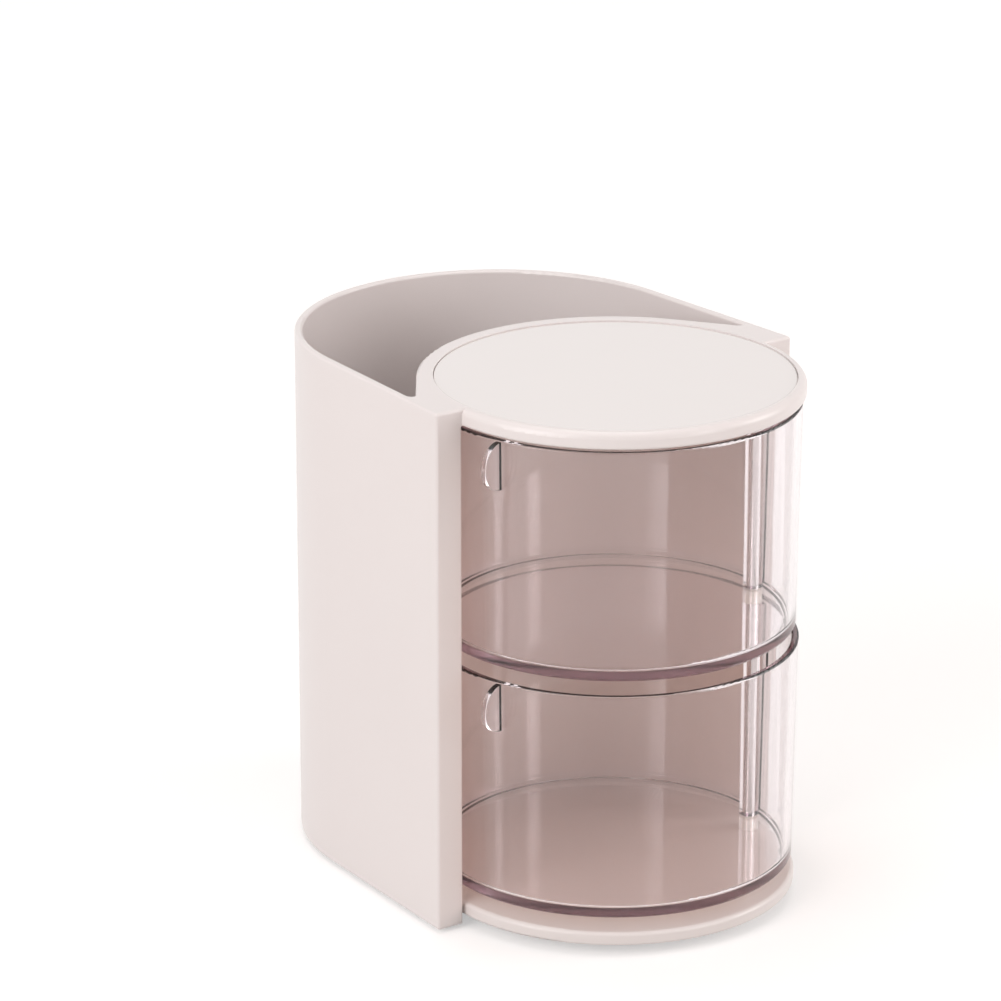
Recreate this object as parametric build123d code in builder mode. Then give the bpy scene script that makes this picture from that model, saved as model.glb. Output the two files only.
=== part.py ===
from build123d import *
import os
from math import acos, atan2, cos, hypot, radians, sin, tan

# Brush holder with two round drawers that swing out from under a fixed lid.
# Millimetres, +Z up, front towards -Y. The origin is the middle of the footprint,
# at the level that the feet stand on.

# ---------------------------------------------------------------- driving dimensions

# Drawers: two clear round cups, one above the other.
drawer_radius = 45.2        # outside, at the rim
drawer_height = 57.0
drawer_draft = 0.8          # how much narrower the cup is at its foot
drawer_wall = 1.8
drawer_floor = 1.8
drawer_gap = 3.55           # free height below each drawer
rim_gap = 0.95              # free height between the upper drawer and the lid
drawer_foot_round = 0.8
drawer_inner_round = 1.5
drawer_rim_round = 0.5

# Finger tab: a D-shaped fin just under each drawer's rim, near the left post.
tab_height = 11.6
tab_reach = 5.9
tab_thickness = 1.4
tab_drop = 0.4              # below the rim
tab_angle = 196.0           # degrees round the drum axis, from +X

# Housing round the drawers.
opening_clearance = 0.55    # drawer rim to post
bay_clearance = 0.9         # drawer rim to housing
lid_overhang = 0.75         # lid edge beyond the drawer rim
drum_setback = 1.0          # drum axis behind the front faces of the posts
housing_wall = 1.7
post_width = 7.5
post_depth = 9.0
corner_depth = 12.5         # front faces to the tip of the brush compartment

# Body: straight sides that lean in a little and a half-round back.
side_length = 49.2          # front faces to the centre of the round back
back_radius = 50.3
body_wall = 2.0
lid_thickness = 4.25
base_thickness = 3.4
base_recess = 2.1           # underside of the base above the foot of the body

# Cover disc that is let into the lid.
disc_margin = 2.25          # lid edge to disc
disc_thickness = 0.9
pocket_depth = 1.2
disc_clearance = 0.1

# Hinge rod, its spacers and the sleeves in the drawers.
rod_radius = 1.0
rod_seat_depth = 2.5        # blind seat in the base
running_clearance = 0.05    # radial, round the rod
axial_play = 0.1            # each side of a spacer
pivot_inset = 5.7           # rod axis inside the drawer's rim
pivot_angle = -9.0          # degrees round the drum axis, from +X
sleeve_radius = 2.5
sleeve_web = 1.6            # thickness of the web that joins it to the wall
web_drop = 1.0              # below the rim
rod_chamfer = 0.2

# Fasteners and feet.
screw_radius = 1.5
screw_length = 8.0
screw_head_radius = 2.4
screw_head_height = 1.8
screw_head_clearance = 0.25
screw_head_round = 0.5
screw_recess = 0.3          # head above the underside of the base
screw_slot_length = 3.4
screw_slot_width = 0.7
screw_slot_depth = 0.9
boss_radius = 4.0
boss_height = 11.0
boss_bite = 0.4             # how far a boss runs into the wall beside it
back_boss_angle = 60.0      # degrees round the centre of the round back, from +X
front_screw_inset = 5.7     # from the leaning side of the body
front_screw_setback = 18.0  # behind the front faces
foot_radius = 5.0
foot_seat_depth = 0.8
foot_stand = 0.8            # how far the feet lift the body
foot_inset = 9.0            # foot edge to the edge of the base
foot_spread = 38.0          # degrees either side of the centre line

# Small clearances and rounded edges.
seat_clearance = 0.15       # base plate inside the body
foot_clearance = 0.75       # round foot of the drum between the posts
edge_round = 0.7
body_foot_round = 1.2
post_edge_round = 0.8       # inner upright edges of the posts
tip_round = 1.0             # tips of the brush compartment
lid_edge_round = 1.9
base_edge_round = 1.0
disc_edge_round = 0.25
foot_edge_round = 0.3

# ---------------------------------------------------------------- places worked out

opening_half = drawer_radius + opening_clearance
body_half = opening_half + post_width
bay_radius = drawer_radius + bay_clearance
housing_radius = bay_radius + housing_wall
lid_radius = drawer_radius + lid_overhang
base_radius = opening_half - foot_clearance
disc_radius = lid_radius - disc_margin

overall_depth = lid_radius - drum_setback + side_length + back_radius
face_y = lid_radius - drum_setback - overall_depth / 2
drum_y = face_y + drum_setback
back_y = face_y + side_length

# The sides run as tangents from the front corners to the round back.
side_lean = atan2(-side_length, body_half) + acos(back_radius / hypot(body_half, side_length))
touch_x = back_radius * cos(side_lean)
touch_y = back_y + back_radius * sin(side_lean)

# The brush compartment narrows to a tip at each side wall, where a tangent to the
# housing closes it.
tip_x = body_half - corner_depth * tan(side_lean) - body_wall / cos(side_lean)
tip_y = face_y + corner_depth
tip_angle = atan2(tip_y - drum_y, tip_x) + acos(housing_radius / hypot(tip_x, tip_y - drum_y))
tangent_x = housing_radius * cos(tip_angle)
tangent_y = drum_y + housing_radius * sin(tip_angle)

base_bottom = foot_stand + base_recess
base_top = base_bottom + base_thickness
lower_foot = base_top + drawer_gap
lower_rim = lower_foot + drawer_height
upper_foot = lower_rim + drawer_gap
upper_rim = upper_foot + drawer_height
lid_bottom = upper_rim + rim_gap
body_top = lid_bottom + lid_thickness
pocket_floor = body_top - pocket_depth

pivot_reach = drawer_radius - pivot_inset
pivot_x = pivot_reach * cos(radians(pivot_angle))
pivot_y = drum_y + pivot_reach * sin(radians(pivot_angle))
bore_radius = rod_radius + running_clearance

# Two screws at the narrow front ends of the brush compartment and two in its round
# back, where the bosses bite into the inside of the wall.
front_screw_x = body_half - front_screw_setback * tan(side_lean) - front_screw_inset
boss_reach = back_radius - body_wall - boss_radius + boss_bite
screw_places = [
    (side * front_screw_x, face_y + front_screw_setback) for side in (-1, 1)
] + [
    (side * boss_reach * cos(radians(back_boss_angle)),
     back_y + boss_reach * sin(radians(back_boss_angle)))
    for side in (-1, 1)
]

# Two feet under the front of the drum and two under the round back.
front_foot_reach = base_radius - foot_inset - foot_radius
back_foot_reach = back_radius - foot_inset - foot_radius
foot_places = [
    (side * front_foot_reach * sin(radians(foot_spread)),
     drum_y - front_foot_reach * cos(radians(foot_spread)))
    for side in (-1, 1)
] + [
    (side * back_foot_reach * sin(radians(foot_spread)),
     back_y + back_foot_reach * cos(radians(foot_spread)))
    for side in (-1, 1)
]

# ---------------------------------------------------------------- shared outlines


def body_outline(inset):
    """Plan of the body, drawn in by inset: front line, leaning sides, round back."""
    with BuildSketch(Plane.XY, mode=Mode.PRIVATE) as outline:
        with BuildLine():
            Polyline((-touch_x, touch_y), (-body_half, face_y), (body_half, face_y), (touch_x, touch_y))
            ThreePointArc((touch_x, touch_y), (0, back_y + back_radius), (-touch_x, touch_y))
        make_face()
        if inset:
            offset(amount=-inset, kind=Kind.INTERSECTION)
    return outline.sketch


def compartment_outline():
    """Plan of the brush compartment: a crescent that ends in a tip at each side."""
    with BuildSketch(Plane.XY, mode=Mode.PRIVATE) as outline:
        add(body_outline(body_wall))
        with Locations((0, drum_y)):
            Circle(housing_radius, mode=Mode.SUBTRACT)
        for side in (-1, 1):
            with BuildLine():
                Polyline(
                    (side * tip_x, tip_y),
                    (side * tangent_x, tangent_y),
                    (0, drum_y),
                    (side * body_half, face_y),
                    (side * body_half, tip_y),
                    close=True,
                )
            make_face(mode=Mode.SUBTRACT)
        tips = outline.vertices().group_by(Axis.Y)[0]
        fillet(tips, tip_round)
    return outline.sketch


def bay_outline():
    """Plan of the drum bay and the room before it, with rounded edges on the posts."""
    with BuildSketch(Plane.XY, mode=Mode.PRIVATE) as outline:
        with Locations((0, drum_y)):
            Circle(bay_radius)
            Rectangle(2 * opening_half, 4 * bay_radius, mode=Mode.INTERSECT)
        with Locations((0, face_y - lid_radius)):
            Rectangle(2 * body_half, 2 * lid_radius)
        face_vertices = outline.vertices().filter_by_position(Axis.Y, face_y - 0.01, face_y + 0.01)
        fillet(face_vertices.sort_by(Axis.X)[1:-1], post_edge_round)
    return outline.sketch


def lid_profile():
    """Half section of the lid over the drum, with a soft top edge."""
    with BuildSketch(Plane.XZ.offset(-drum_y), mode=Mode.PRIVATE) as profile:
        with Locations((lid_radius / 2, lid_bottom + lid_thickness / 2)):
            Rectangle(lid_radius, lid_thickness)
        fillet(profile.vertices().group_by(Axis.Y)[0].sort_by(Axis.X)[-1], edge_round)
        fillet(profile.vertices().group_by(Axis.Y)[-1].sort_by(Axis.X)[-1], lid_edge_round)
    return profile.sketch


def base_outline(clearance):
    """Plan of the base plate inside the body: within the walls and clear of the posts."""
    post_room = post_width + clearance
    with BuildSketch(Plane.XY, mode=Mode.PRIVATE) as outline:
        add(body_outline(body_wall + clearance))
        for side in (-1, 1):
            with Locations((side * (body_half - post_room / 2), face_y)):
                Rectangle(post_room, 2 * (post_depth + clearance), mode=Mode.SUBTRACT)
    return outline.sketch


def cup_profile(foot_z):
    """Half section of a drawer: drafted wall and floor, with rounded corners."""
    foot_radius_out = drawer_radius - drawer_draft
    rim_z = foot_z + drawer_height
    floor_z = foot_z + drawer_floor
    floor_radius = foot_radius_out - drawer_wall + drawer_draft * drawer_floor / drawer_height
    with BuildSketch(Plane.XZ.offset(-drum_y), mode=Mode.PRIVATE) as profile:
        with BuildLine():
            Polyline(
                (0, foot_z),
                (foot_radius_out, foot_z),
                (drawer_radius, rim_z),
                (drawer_radius - drawer_wall, rim_z),
                (floor_radius, floor_z),
                (0, floor_z),
                close=True,
            )
        make_face()
        fillet(profile.vertices().group_by(Axis.Y)[-1], drawer_rim_round)
        fillet(profile.vertices().group_by(Axis.Y)[0].sort_by(Axis.X)[-1], drawer_foot_round)
        inner_corner = profile.vertices().filter_by_position(Axis.Y, floor_z - 0.01, floor_z + 0.01)
        fillet(inner_corner.sort_by(Axis.X)[-1], drawer_inner_round)
    return profile.sketch


# ---------------------------------------------------------------- body shell

# One white moulding: outer wall, posts, the round housing and the lid over it.
with BuildPart() as body_shell:
    with BuildSketch(Plane.XY.offset(foot_stand)):
        add(body_outline(0))
    extrude(amount=body_top - foot_stand)
    # Upright edges of the post faces, then the bottom edge all round.
    fillet(body_shell.edges().filter_by(Axis.Z).group_by(Axis.Y)[0], edge_round)
    fillet(body_shell.faces().sort_by(Axis.Z)[0].edges(), body_foot_round)
    # Brush compartment: a crescent between the outer wall and the housing.
    with BuildSketch(Plane.XY.offset(foot_stand)):
        add(compartment_outline())
    extrude(amount=body_top - foot_stand, mode=Mode.SUBTRACT)
    # Rounded rim: the outer edge and the mouth of the brush compartment.
    fillet(body_shell.faces().sort_by(Axis.Z)[-1].edges(), edge_round)
    # The lid stands out in front over the drawers.
    add(lid_profile())
    revolve(axis=Axis((0, drum_y, 0), (0, 0, 1)))
    # Screw bosses at the foot of the brush compartment.
    with BuildSketch(Plane.XY.offset(base_top)):
        with Locations(*screw_places):
            Circle(boss_radius)
    extrude(amount=boss_height)
    # Drum bay: round at the back, straight-sided between the posts.
    with BuildSketch(Plane.XY.offset(foot_stand)):
        add(bay_outline())
    extrude(amount=lid_bottom - foot_stand, mode=Mode.SUBTRACT)
    # Room for the base plate, which comes in from below.
    with BuildSketch(Plane.XY.offset(foot_stand)):
        add(base_outline(0))
    extrude(amount=base_top - foot_stand, mode=Mode.SUBTRACT)
    # Pilot holes in the screw bosses.
    with BuildSketch(Plane.XY.offset(base_top)):
        with Locations(*screw_places):
            Circle(screw_radius + running_clearance)
    extrude(amount=screw_length, mode=Mode.SUBTRACT)
    # Pocket for the cover disc, and the hole that the rod is dropped through.
    with BuildSketch(Plane.XY.offset(pocket_floor)):
        with Locations((0, drum_y)):
            Circle(disc_radius + disc_clearance)
    extrude(amount=pocket_depth, mode=Mode.SUBTRACT)
    with BuildSketch(Plane.XY.offset(lid_bottom)):
        with Locations((pivot_x, pivot_y)):
            Circle(bore_radius)
    extrude(amount=lid_thickness, mode=Mode.SUBTRACT)

# ---------------------------------------------------------------- base plate

# Closes the body from below: floor of the brush compartment and round foot of the drum.
screw_head_seat = base_bottom + screw_recess + screw_head_height

with BuildPart() as base_plate:
    with BuildSketch(Plane.XY.offset(base_bottom)):
        with Locations((0, drum_y)):
            Circle(base_radius)
    extrude(amount=base_thickness)
    fillet(base_plate.edges().sort_by(Axis.Z)[-1], base_edge_round)
    fillet(base_plate.edges().sort_by(Axis.Z)[0], edge_round)
    with BuildSketch(Plane.XY.offset(base_bottom)):
        add(base_outline(seat_clearance))
    extrude(amount=base_thickness)
    # Stepped holes for the screws.
    with BuildSketch(Plane.XY.offset(base_bottom)):
        with Locations(*screw_places):
            Circle(screw_radius + screw_head_clearance)
    extrude(amount=base_thickness, mode=Mode.SUBTRACT)
    with BuildSketch(Plane.XY.offset(base_bottom)):
        with Locations(*screw_places):
            Circle(screw_head_radius + screw_head_clearance)
    extrude(amount=screw_head_seat - base_bottom, mode=Mode.SUBTRACT)
    # Shallow seats for the feet, and the blind seat for the rod.
    with BuildSketch(Plane.XY.offset(base_bottom)):
        with Locations(*foot_places):
            Circle(foot_radius + disc_clearance)
    extrude(amount=foot_seat_depth, mode=Mode.SUBTRACT)
    with BuildSketch(Plane.XY.offset(base_top)):
        with Locations((pivot_x, pivot_y)):
            Circle(bore_radius)
    extrude(amount=-rod_seat_depth, mode=Mode.SUBTRACT)

# ---------------------------------------------------------------- cover disc

with BuildPart() as cover_disc:
    with BuildSketch(Plane.XY.offset(pocket_floor)):
        with Locations((0, drum_y)):
            Circle(disc_radius)
    extrude(amount=disc_thickness)
    fillet(cover_disc.edges().sort_by(Axis.Z)[-1], disc_edge_round)

# ---------------------------------------------------------------- drawers

tab_radial = (cos(radians(tab_angle)), sin(radians(tab_angle)), 0)
tab_normal = (sin(radians(tab_angle)), -cos(radians(tab_angle)), 0)
tab_plane = Plane(origin=(0, drum_y, 0), x_dir=tab_radial, z_dir=tab_normal)
tab_root = drawer_radius - drawer_wall / 2
web_end = drawer_radius - drawer_draft - drawer_wall / 2


def make_drawer(foot_z):
    """One clear cup with its hinge sleeve and finger tab."""
    rim_z = foot_z + drawer_height
    tab_top = rim_z - tab_drop
    with BuildPart() as cup:
        add(cup_profile(foot_z))
        revolve(axis=Axis((0, drum_y, 0), (0, 0, 1)))
        # Hinge sleeve inside the wall, joined to it by a web.
        with BuildSketch(Plane.XY.offset(foot_z)):
            with Locations((pivot_x, pivot_y)):
                Circle(sleeve_radius)
        extrude(amount=drawer_height)
        with BuildSketch(Plane.XY.offset(foot_z)):
            with Locations((0, drum_y)):
                with PolarLocations((pivot_reach + web_end) / 2, 1, start_angle=pivot_angle):
                    Rectangle(web_end - pivot_reach, sleeve_web)
        extrude(amount=drawer_height - web_drop)
        with BuildSketch(Plane.XY.offset(foot_z)):
            with Locations((pivot_x, pivot_y)):
                Circle(bore_radius)
        extrude(amount=drawer_height, mode=Mode.SUBTRACT)
        # D-shaped finger tab, standing out from the wall just under the rim.
        with BuildSketch(tab_plane):
            with BuildLine():
                ThreePointArc(
                    (tab_root, tab_top),
                    (drawer_radius + tab_reach, tab_top - tab_height / 2),
                    (tab_root, tab_top - tab_height),
                )
                Line((tab_root, tab_top - tab_height), (tab_root, tab_top))
            make_face()
        extrude(amount=tab_thickness / 2, both=True)
    return cup.part


with BuildPart() as lower_drawer:
    add(make_drawer(lower_foot))

with BuildPart() as upper_drawer:
    add(make_drawer(upper_foot))

# ---------------------------------------------------------------- hinge rod and spacers

with BuildPart() as hinge_rod:
    with BuildSketch(Plane.XY.offset(base_top - rod_seat_depth)):
        with Locations((pivot_x, pivot_y)):
            Circle(rod_radius)
    extrude(amount=pocket_floor - axial_play - (base_top - rod_seat_depth))
    chamfer(hinge_rod.edges().filter_by(GeomType.CIRCLE), rod_chamfer)

spacers = {}
for name, below, above in (
    ("lower_spacer", base_top, lower_foot),
    ("middle_spacer", lower_rim, upper_foot),
    ("top_spacer", upper_rim, lid_bottom),
):
    with BuildPart() as spacer:
        with BuildSketch(Plane.XY.offset(below + axial_play)):
            with Locations((pivot_x, pivot_y)):
                Circle(sleeve_radius)
                Circle(bore_radius, mode=Mode.SUBTRACT)
        extrude(amount=above - below - 2 * axial_play)
    spacers[name] = spacer

# ---------------------------------------------------------------- screws and feet

with BuildPart() as base_screws:
    with BuildSketch(Plane.XY.offset(base_bottom + screw_recess)):
        with Locations(*screw_places):
            Circle(screw_head_radius)
    extrude(amount=screw_head_height)
    fillet(base_screws.edges().filter_by(GeomType.CIRCLE).group_by(Axis.Z)[0], screw_head_round)
    with BuildSketch(Plane.XY.offset(screw_head_seat)):
        with Locations(*screw_places):
            Circle(screw_radius)
    extrude(amount=screw_length)
    # Cross slot in each head.
    with BuildSketch(Plane.XY.offset(base_bottom + screw_recess)):
        with Locations(*screw_places):
            Rectangle(screw_slot_length, screw_slot_width)
            Rectangle(screw_slot_width, screw_slot_length)
    extrude(amount=screw_slot_depth, mode=Mode.SUBTRACT)

with BuildPart() as rubber_feet:
    with BuildSketch(Plane.XY):
        with Locations(*foot_places):
            Circle(foot_radius)
    extrude(amount=base_bottom + foot_seat_depth)
    fillet(rubber_feet.edges().filter_by(GeomType.CIRCLE).group_by(Axis.Z)[0], foot_edge_round)

# ---------------------------------------------------------------- export

pieces = {
    "body_shell": body_shell,
    "base_plate": base_plate,
    "cover_disc": cover_disc,
    "lower_drawer": lower_drawer,
    "upper_drawer": upper_drawer,
    "hinge_rod": hinge_rod,
    "base_screws": base_screws,
    "rubber_feet": rubber_feet,
} | spacers

os.makedirs("parts", exist_ok=True)
for name, piece in pieces.items():
    piece.part.label = name
    export_step(piece.part, f"parts/{name}.step")
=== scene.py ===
from math import cos, radians, sin

import bpy
from mathutils import Matrix, Vector

# Brush holder with two clear swing-out drawers, on a plain pale floor.
# Metres, in the frame of the CAD model: +Z up, front towards -Y.

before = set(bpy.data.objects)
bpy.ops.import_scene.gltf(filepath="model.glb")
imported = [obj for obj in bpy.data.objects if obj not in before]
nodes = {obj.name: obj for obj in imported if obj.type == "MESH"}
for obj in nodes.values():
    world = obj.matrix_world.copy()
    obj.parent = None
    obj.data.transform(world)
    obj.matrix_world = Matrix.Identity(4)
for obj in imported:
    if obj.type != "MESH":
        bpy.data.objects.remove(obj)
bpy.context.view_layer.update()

# ---------------------------------------------------------------- camera

# Fitted to the outlines of the body, the lid and the base in the photograph.
VIEW_AZIMUTH = radians(35.78)       # from the front, towards the object's left side
VIEW_PITCH = radians(18.98)         # looking down
VIEW_DISTANCE = 1.1998
VIEW_CENTRE = Vector((-0.0275, -0.01727, 0.1034))
LENS = 179.8
SENSOR_WIDTH = 36


def make_camera():
    """The photograph's camera: a long lens, from the front left and a little above."""
    forward = Vector((
        sin(VIEW_AZIMUTH) * cos(VIEW_PITCH),
        cos(VIEW_AZIMUTH) * cos(VIEW_PITCH),
        -sin(VIEW_PITCH),
    ))
    right = Vector((cos(VIEW_AZIMUTH), -sin(VIEW_AZIMUTH), 0))
    up = right.cross(forward)
    data = bpy.data.cameras.new("camera")
    data.lens = LENS
    data.sensor_width = SENSOR_WIDTH
    data.clip_start = 0.01
    data.clip_end = 20
    camera = bpy.data.objects.new("camera", data)
    bpy.context.scene.collection.objects.link(camera)
    turn = Matrix((right, up, -forward)).transposed().to_4x4()
    camera.matrix_world = Matrix.Translation(VIEW_CENTRE - forward * VIEW_DISTANCE) @ turn
    bpy.context.scene.camera = camera


# ---------------------------------------------------------------- node helpers


def new_tree(name):
    """An empty material with its output node: (material, nodes, link function, output)."""
    material = bpy.data.materials.new(name)
    material.use_nodes = True
    tree = material.node_tree
    tree.nodes.clear()
    output = tree.nodes.new("ShaderNodeOutputMaterial")
    return material, tree.nodes, tree.links.new, output


def math_node(tree_nodes, link, operation, *values):
    """The result of a math node; each value is a number or another node's output."""
    node = tree_nodes.new("ShaderNodeMath")
    node.operation = operation
    for socket, value in zip(node.inputs, values):
        if isinstance(value, float):
            socket.default_value = value
        else:
            link(value, socket)
    return node.outputs[0]


def seen_directly(tree_nodes, link):
    """1 for rays from the camera, off a gloss or through glass, and 0 for the rest."""
    path = tree_nodes.new("ShaderNodeLightPath").outputs
    either = math_node(tree_nodes, link, "MAXIMUM", path["Is Camera Ray"], path["Is Glossy Ray"])
    return math_node(tree_nodes, link, "MAXIMUM", either, path["Is Transmission Ray"])


def noise(tree_nodes, link, scale, detail=2, stretch=(1, 1, 1)):
    """Noise over object space, with scale in cycles per metre."""
    place = tree_nodes.new("ShaderNodeTexCoord")
    mapping = tree_nodes.new("ShaderNodeMapping")
    mapping.inputs["Scale"].default_value = stretch
    texture = tree_nodes.new("ShaderNodeTexNoise")
    texture.inputs["Scale"].default_value = scale
    texture.inputs["Detail"].default_value = detail
    link(place.outputs["Object"], mapping.inputs["Vector"])
    link(mapping.outputs["Vector"], texture.inputs["Vector"])
    return texture.outputs["Fac"]


def spread(tree_nodes, link, factor, low, high, start=0.25, end=0.75):
    """A factor between start and end taken to the range from low to high."""
    ranged = tree_nodes.new("ShaderNodeMapRange")
    ranged.inputs["To Min"].default_value = low
    ranged.inputs["To Max"].default_value = high
    ranged.inputs["From Min"].default_value = start
    ranged.inputs["From Max"].default_value = end
    link(factor, ranged.inputs["Value"])
    return ranged.outputs["Result"]


def tinted(tree_nodes, link, factor, first, second):
    """A colour between two others, by a factor."""
    mix = tree_nodes.new("ShaderNodeMix")
    mix.data_type = "RGBA"
    mix.inputs["A"].default_value = (*first, 1)
    mix.inputs["B"].default_value = (*second, 1)
    link(factor, mix.inputs["Factor"])
    return mix.outputs["Result"]


def bump(tree_nodes, link, height, distance, under=None):
    """A bump node: height is a factor, distance its size in metres."""
    node = tree_nodes.new("ShaderNodeBump")
    node.inputs["Distance"].default_value = distance
    link(height, node.inputs["Height"])
    if under is not None:
        link(under, node.inputs["Normal"])
    return node.outputs["Normal"]


# ---------------------------------------------------------------- materials


def moulded_plastic(name, colour, shade, roughness, coat, texture_depth):
    """Warm white moulded plastic: fine mould texture, slow waviness, slightly cloudy colour."""
    material, tree_nodes, link, output = new_tree(name)
    shader = tree_nodes.new("ShaderNodeBsdfPrincipled")
    cloud = noise(tree_nodes, link, 22, detail=3)
    link(tinted(tree_nodes, link, cloud, colour, shade), shader.inputs["Base Color"])
    shader.inputs["Roughness"].default_value = roughness
    shader.inputs["IOR"].default_value = 1.49
    shader.inputs["Coat Weight"].default_value = coat
    shader.inputs["Coat Roughness"].default_value = 0.12
    waves = bump(tree_nodes, link, noise(tree_nodes, link, 45, detail=1), 0.00005)
    grain = bump(tree_nodes, link, noise(tree_nodes, link, 5200, detail=2), texture_depth, under=waves)
    link(grain, shader.inputs["Normal"])
    link(shader.outputs[0], output.inputs["Surface"])
    return material


def clear_plastic(name, tint, passed, thick_tint, density):
    """Clear moulded plastic that lets the lamps light what is behind it."""
    material, tree_nodes, link, output = new_tree(name)
    shader = tree_nodes.new("ShaderNodeBsdfPrincipled")
    smear = noise(tree_nodes, link, 60, detail=3)
    link(spread(tree_nodes, link, smear, 0.012, 0.05), shader.inputs["Roughness"])
    shader.inputs["Base Color"].default_value = (*tint, 1)
    shader.inputs["Transmission Weight"].default_value = 1.0
    shader.inputs["IOR"].default_value = 1.49
    flow = bump(tree_nodes, link, noise(tree_nodes, link, 38, detail=1, stretch=(1, 1, 0.35)), 0.00003)
    link(flow, shader.inputs["Normal"])
    lamps = tree_nodes.new("ShaderNodeBsdfTransparent")
    lamps.inputs["Color"].default_value = (*passed, 1)
    path = tree_nodes.new("ShaderNodeLightPath").outputs
    mix = tree_nodes.new("ShaderNodeMixShader")
    either = math_node(tree_nodes, link, "MAXIMUM", path["Is Shadow Ray"], path["Is Diffuse Ray"])
    link(either, mix.inputs["Fac"])
    link(shader.outputs[0], mix.inputs[1])
    link(lamps.outputs[0], mix.inputs[2])
    link(mix.outputs[0], output.inputs["Surface"])
    absorb = tree_nodes.new("ShaderNodeVolumeAbsorption")
    absorb.inputs["Color"].default_value = (*thick_tint, 1)
    absorb.inputs["Density"].default_value = density
    link(absorb.outputs[0], output.inputs["Volume"])
    return material


def drawn_steel(name):
    """Bright drawn wire: fine lines along the rod."""
    material, tree_nodes, link, output = new_tree(name)
    shader = tree_nodes.new("ShaderNodeBsdfPrincipled")
    lines = noise(tree_nodes, link, 9000, detail=2, stretch=(1, 1, 0.01))
    colour = tinted(tree_nodes, link, lines, (0.70, 0.68, 0.66), (0.58, 0.56, 0.55))
    link(colour, shader.inputs["Base Color"])
    link(spread(tree_nodes, link, lines, 0.16, 0.30), shader.inputs["Roughness"])
    shader.inputs["Metallic"].default_value = 1.0
    link(bump(tree_nodes, link, lines, 0.000004), shader.inputs["Normal"])
    link(shader.outputs[0], output.inputs["Surface"])
    return material


def zinc_plate(name):
    """Zinc plated steel, with a faint cloudy grain."""
    material, tree_nodes, link, output = new_tree(name)
    shader = tree_nodes.new("ShaderNodeBsdfPrincipled")
    cloud = noise(tree_nodes, link, 1800, detail=4)
    colour = tinted(tree_nodes, link, cloud, (0.60, 0.61, 0.64), (0.48, 0.48, 0.50))
    link(colour, shader.inputs["Base Color"])
    link(spread(tree_nodes, link, cloud, 0.26, 0.42), shader.inputs["Roughness"])
    shader.inputs["Metallic"].default_value = 1.0
    link(bump(tree_nodes, link, cloud, 0.00001), shader.inputs["Normal"])
    link(shader.outputs[0], output.inputs["Surface"])
    return material


def nylon(name):
    """Natural nylon: milky, slightly see-through white with a matt skin."""
    material, tree_nodes, link, output = new_tree(name)
    shader = tree_nodes.new("ShaderNodeBsdfPrincipled")
    cloud = noise(tree_nodes, link, 900, detail=3)
    colour = tinted(tree_nodes, link, cloud, (0.86, 0.85, 0.81), (0.80, 0.78, 0.73))
    link(colour, shader.inputs["Base Color"])
    link(spread(tree_nodes, link, cloud, 0.42, 0.55), shader.inputs["Roughness"])
    shader.inputs["Subsurface Weight"].default_value = 0.25
    shader.inputs["Subsurface Radius"].default_value = (0.001, 0.001, 0.0008)
    shader.inputs["Subsurface Scale"].default_value = 1.0
    link(bump(tree_nodes, link, cloud, 0.00001), shader.inputs["Normal"])
    link(shader.outputs[0], output.inputs["Surface"])
    return material


def rubber(name):
    """Dark grey rubber with a fine matt grain."""
    material, tree_nodes, link, output = new_tree(name)
    shader = tree_nodes.new("ShaderNodeBsdfPrincipled")
    grain = noise(tree_nodes, link, 3000, detail=4)
    colour = tinted(tree_nodes, link, grain, (0.035, 0.034, 0.034), (0.06, 0.058, 0.056))
    link(colour, shader.inputs["Base Color"])
    link(spread(tree_nodes, link, grain, 0.62, 0.82), shader.inputs["Roughness"])
    link(bump(tree_nodes, link, grain, 0.00003), shader.inputs["Normal"])
    link(shader.outputs[0], output.inputs["Surface"])
    return material


# ---------------------------------------------------------------- floor, world and lamps

AMBIENT = (1.0, 0.93, 0.89)         # warm, so that hollows in shade stay warm
AMBIENT_STRENGTH = 0.42
FLOOR_HALF = 3.0
FLOOR_LIFT = (0.42, 0.58)           # floor's own glow where seen directly: near, and far off
FLOOR_FAR = (0.15, 1.0)             # distances from the object over which it rises
FADE_GAIN = 2.25                    # makes up for the light that a faded softbox loses
LAMP_AIM = Vector((0, 0, 0.07))     # a little above half way up


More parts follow.
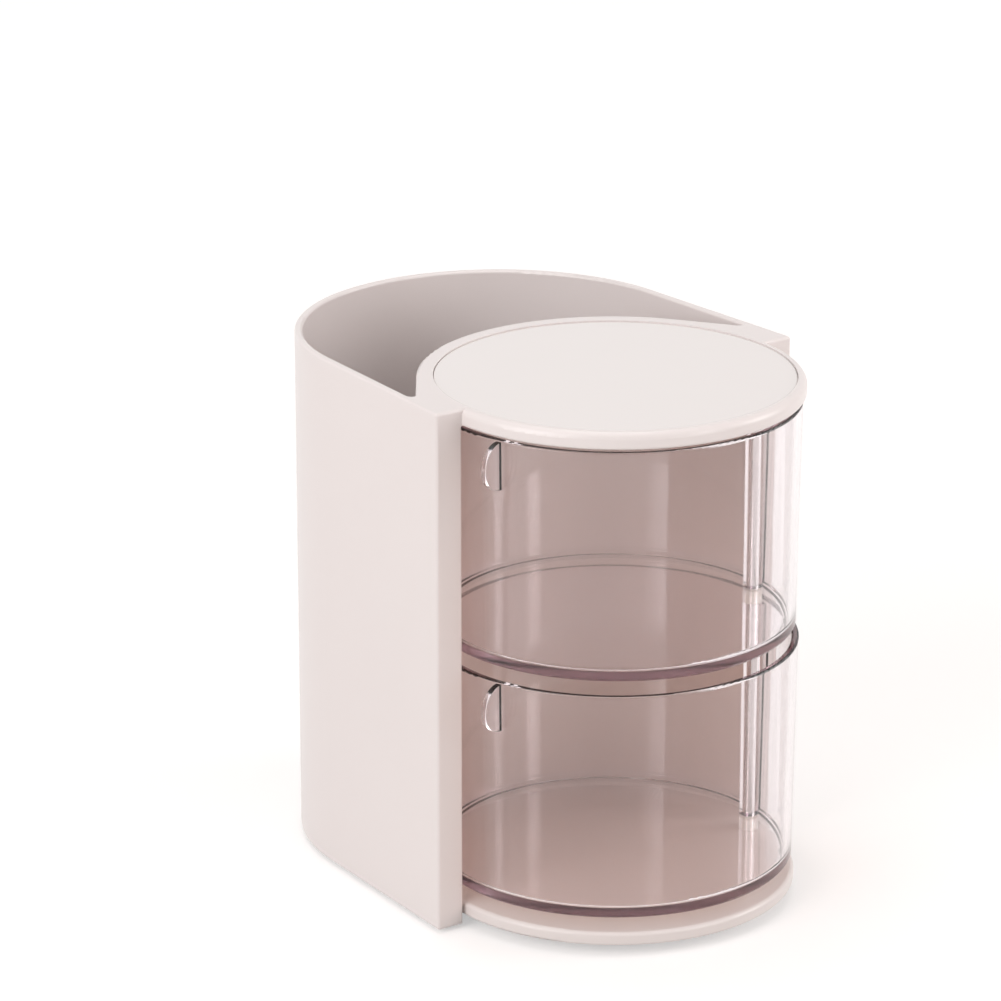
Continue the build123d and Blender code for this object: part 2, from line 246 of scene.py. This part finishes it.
def make_floor():
    """A wide pale floor that shows the object's soft shadow and otherwise goes to white."""
    mesh = bpy.data.meshes.new("floor")
    corners = [(-FLOOR_HALF, -FLOOR_HALF, 0), (FLOOR_HALF, -FLOOR_HALF, 0),
               (FLOOR_HALF, FLOOR_HALF, 0), (-FLOOR_HALF, FLOOR_HALF, 0)]
    mesh.from_pydata(corners, [], [(0, 1, 2, 3)])
    floor = bpy.data.objects.new("floor", mesh)
    bpy.context.scene.collection.objects.link(floor)
    material, tree_nodes, link, output = new_tree("floor")
    diffuse = tree_nodes.new("ShaderNodeBsdfDiffuse")
    speckle = noise(tree_nodes, link, 400, detail=3)
    colour = tinted(tree_nodes, link, speckle, (0.74, 0.73, 0.725), (0.72, 0.71, 0.705))
    link(colour, diffuse.inputs["Color"])
    glow = tree_nodes.new("ShaderNodeEmission")
    glow.inputs["Color"].default_value = (1, 1, 1, 1)
    place = tree_nodes.new("ShaderNodeTexCoord")
    distance = tree_nodes.new("ShaderNodeVectorMath")
    distance.operation = "LENGTH"
    link(place.outputs["Object"], distance.inputs[0])
    rising = spread(tree_nodes, link, distance.outputs["Value"], *FLOOR_LIFT, *FLOOR_FAR)
    lift = math_node(tree_nodes, link, "MULTIPLY", seen_directly(tree_nodes, link), rising)
    link(lift, glow.inputs["Strength"])
    both = tree_nodes.new("ShaderNodeAddShader")
    link(diffuse.outputs[0], both.inputs[0])
    link(glow.outputs[0], both.inputs[1])
    link(both.outputs[0], output.inputs["Surface"])
    floor.data.materials.append(material)


def make_world():
    """Soft ambient light, seen as white where the background shows."""
    world = bpy.data.worlds.new("world")
    bpy.context.scene.world = world
    world.use_nodes = True
    tree_nodes, link = world.node_tree.nodes, world.node_tree.links.new
    tree_nodes.clear()
    output = tree_nodes.new("ShaderNodeOutputWorld")
    ambient = tree_nodes.new("ShaderNodeBackground")
    ambient.inputs["Color"].default_value = (*AMBIENT, 1)
    ambient.inputs["Strength"].default_value = AMBIENT_STRENGTH
    white = tree_nodes.new("ShaderNodeBackground")
    white.inputs["Color"].default_value = (1, 1, 1, 1)
    white.inputs["Strength"].default_value = 1.0
    mix = tree_nodes.new("ShaderNodeMixShader")
    link(seen_directly(tree_nodes, link), mix.inputs["Fac"])
    link(ambient.outputs[0], mix.inputs[1])
    link(white.outputs[0], mix.inputs[2])
    link(mix.outputs[0], output.inputs["Surface"])


def soften(lamp_data):
    """Fade a softbox towards its edges, so that its reflections have no hard border."""
    lamp_data.use_nodes = True
    tree_nodes, link = lamp_data.node_tree.nodes, lamp_data.node_tree.links.new
    tree_nodes.clear()
    where = tree_nodes.new("ShaderNodeNewGeometry")
    parts = tree_nodes.new("ShaderNodeSeparateXYZ")
    link(where.outputs["Parametric"], parts.inputs[0])
    strength = None
    for across in (parts.outputs["X"], parts.outputs["Y"]):
        centred = math_node(tree_nodes, link, "MULTIPLY_ADD", across, 2.0, -1.0)
        square = math_node(tree_nodes, link, "MULTIPLY", centred, centred)
        fade = math_node(tree_nodes, link, "SUBTRACT", 1.0, square)
        strength = fade if strength is None else math_node(tree_nodes, link, "MULTIPLY", strength, fade)
    emission = tree_nodes.new("ShaderNodeEmission")
    link(math_node(tree_nodes, link, "MULTIPLY", strength, FADE_GAIN), emission.inputs["Strength"])
    output = tree_nodes.new("ShaderNodeOutputLight")
    link(emission.outputs[0], output.inputs["Surface"])


def make_lamp(name, place, width, height, watts, colour):
    """A rectangular softbox at place, turned towards LAMP_AIM."""
    data = bpy.data.lights.new(name, "AREA")
    data.shape = "RECTANGLE"
    data.size = width
    data.size_y = height
    data.energy = watts
    data.color = colour
    soften(data)
    lamp = bpy.data.objects.new(name, data)
    bpy.context.scene.collection.objects.link(lamp)
    lamp.location = place
    lamp.rotation_euler = (LAMP_AIM - Vector(place)).to_track_quat("-Z", "Y").to_euler()


# ---------------------------------------------------------------- the object's finishes

finishes = {
    "body": moulded_plastic(
        "body", (0.84, 0.785, 0.775), (0.82, 0.76, 0.75),
        roughness=0.30, coat=0.15, texture_depth=0.000002),
    "base": moulded_plastic(
        "base", (0.83, 0.77, 0.755), (0.81, 0.75, 0.73),
        roughness=0.32, coat=0.15, texture_depth=0.000002),
    "disc": moulded_plastic(
        "disc", (0.84, 0.79, 0.775), (0.83, 0.775, 0.76),
        roughness=0.10, coat=0.6, texture_depth=0.000001),
    "drawer": clear_plastic(
        "drawer", tint=(0.99, 0.975, 0.98), passed=(0.955, 0.925, 0.905),
        thick_tint=(0.76, 0.62, 0.70), density=28),
    "rod": drawn_steel("rod"),
    "spacer": nylon("spacer"),
    "screw": zinc_plate("screw"),
    "foot": rubber("foot"),
}

for node in nodes.values():
    for slot in node.material_slots:
        slot.material = finishes[slot.material.name]

# ---------------------------------------------------------------- scene

make_camera()
make_world()
make_floor()
make_lamp("left", (-1.25, -0.20, 0.65), width=1.2, height=1.1, watts=8.8, colour=(1, 0.985, 0.985))
make_lamp("right", (1.15, -0.75, 0.50), width=0.9, height=1.1, watts=6.8, colour=(1, 0.965, 0.955))
make_lamp("top", (-0.10, 0.10, 1.3), width=1.3, height=1.3, watts=4.5, colour=(1, 1, 1))
make_lamp("front", (0.42, -1.25, 0.40), width=0.28, height=0.9, watts=2.3, colour=(1, 0.95, 0.93))

scene = bpy.context.scene
scene.view_settings.view_transform = "Standard"
# Light goes round many times inside the clear floors and rims of the drawers.
scene.cycles.max_bounces = 24
scene.cycles.glossy_bounces = 16
scene.cycles.transmission_bounces = 24
scene.cycles.transparent_max_bounces = 24
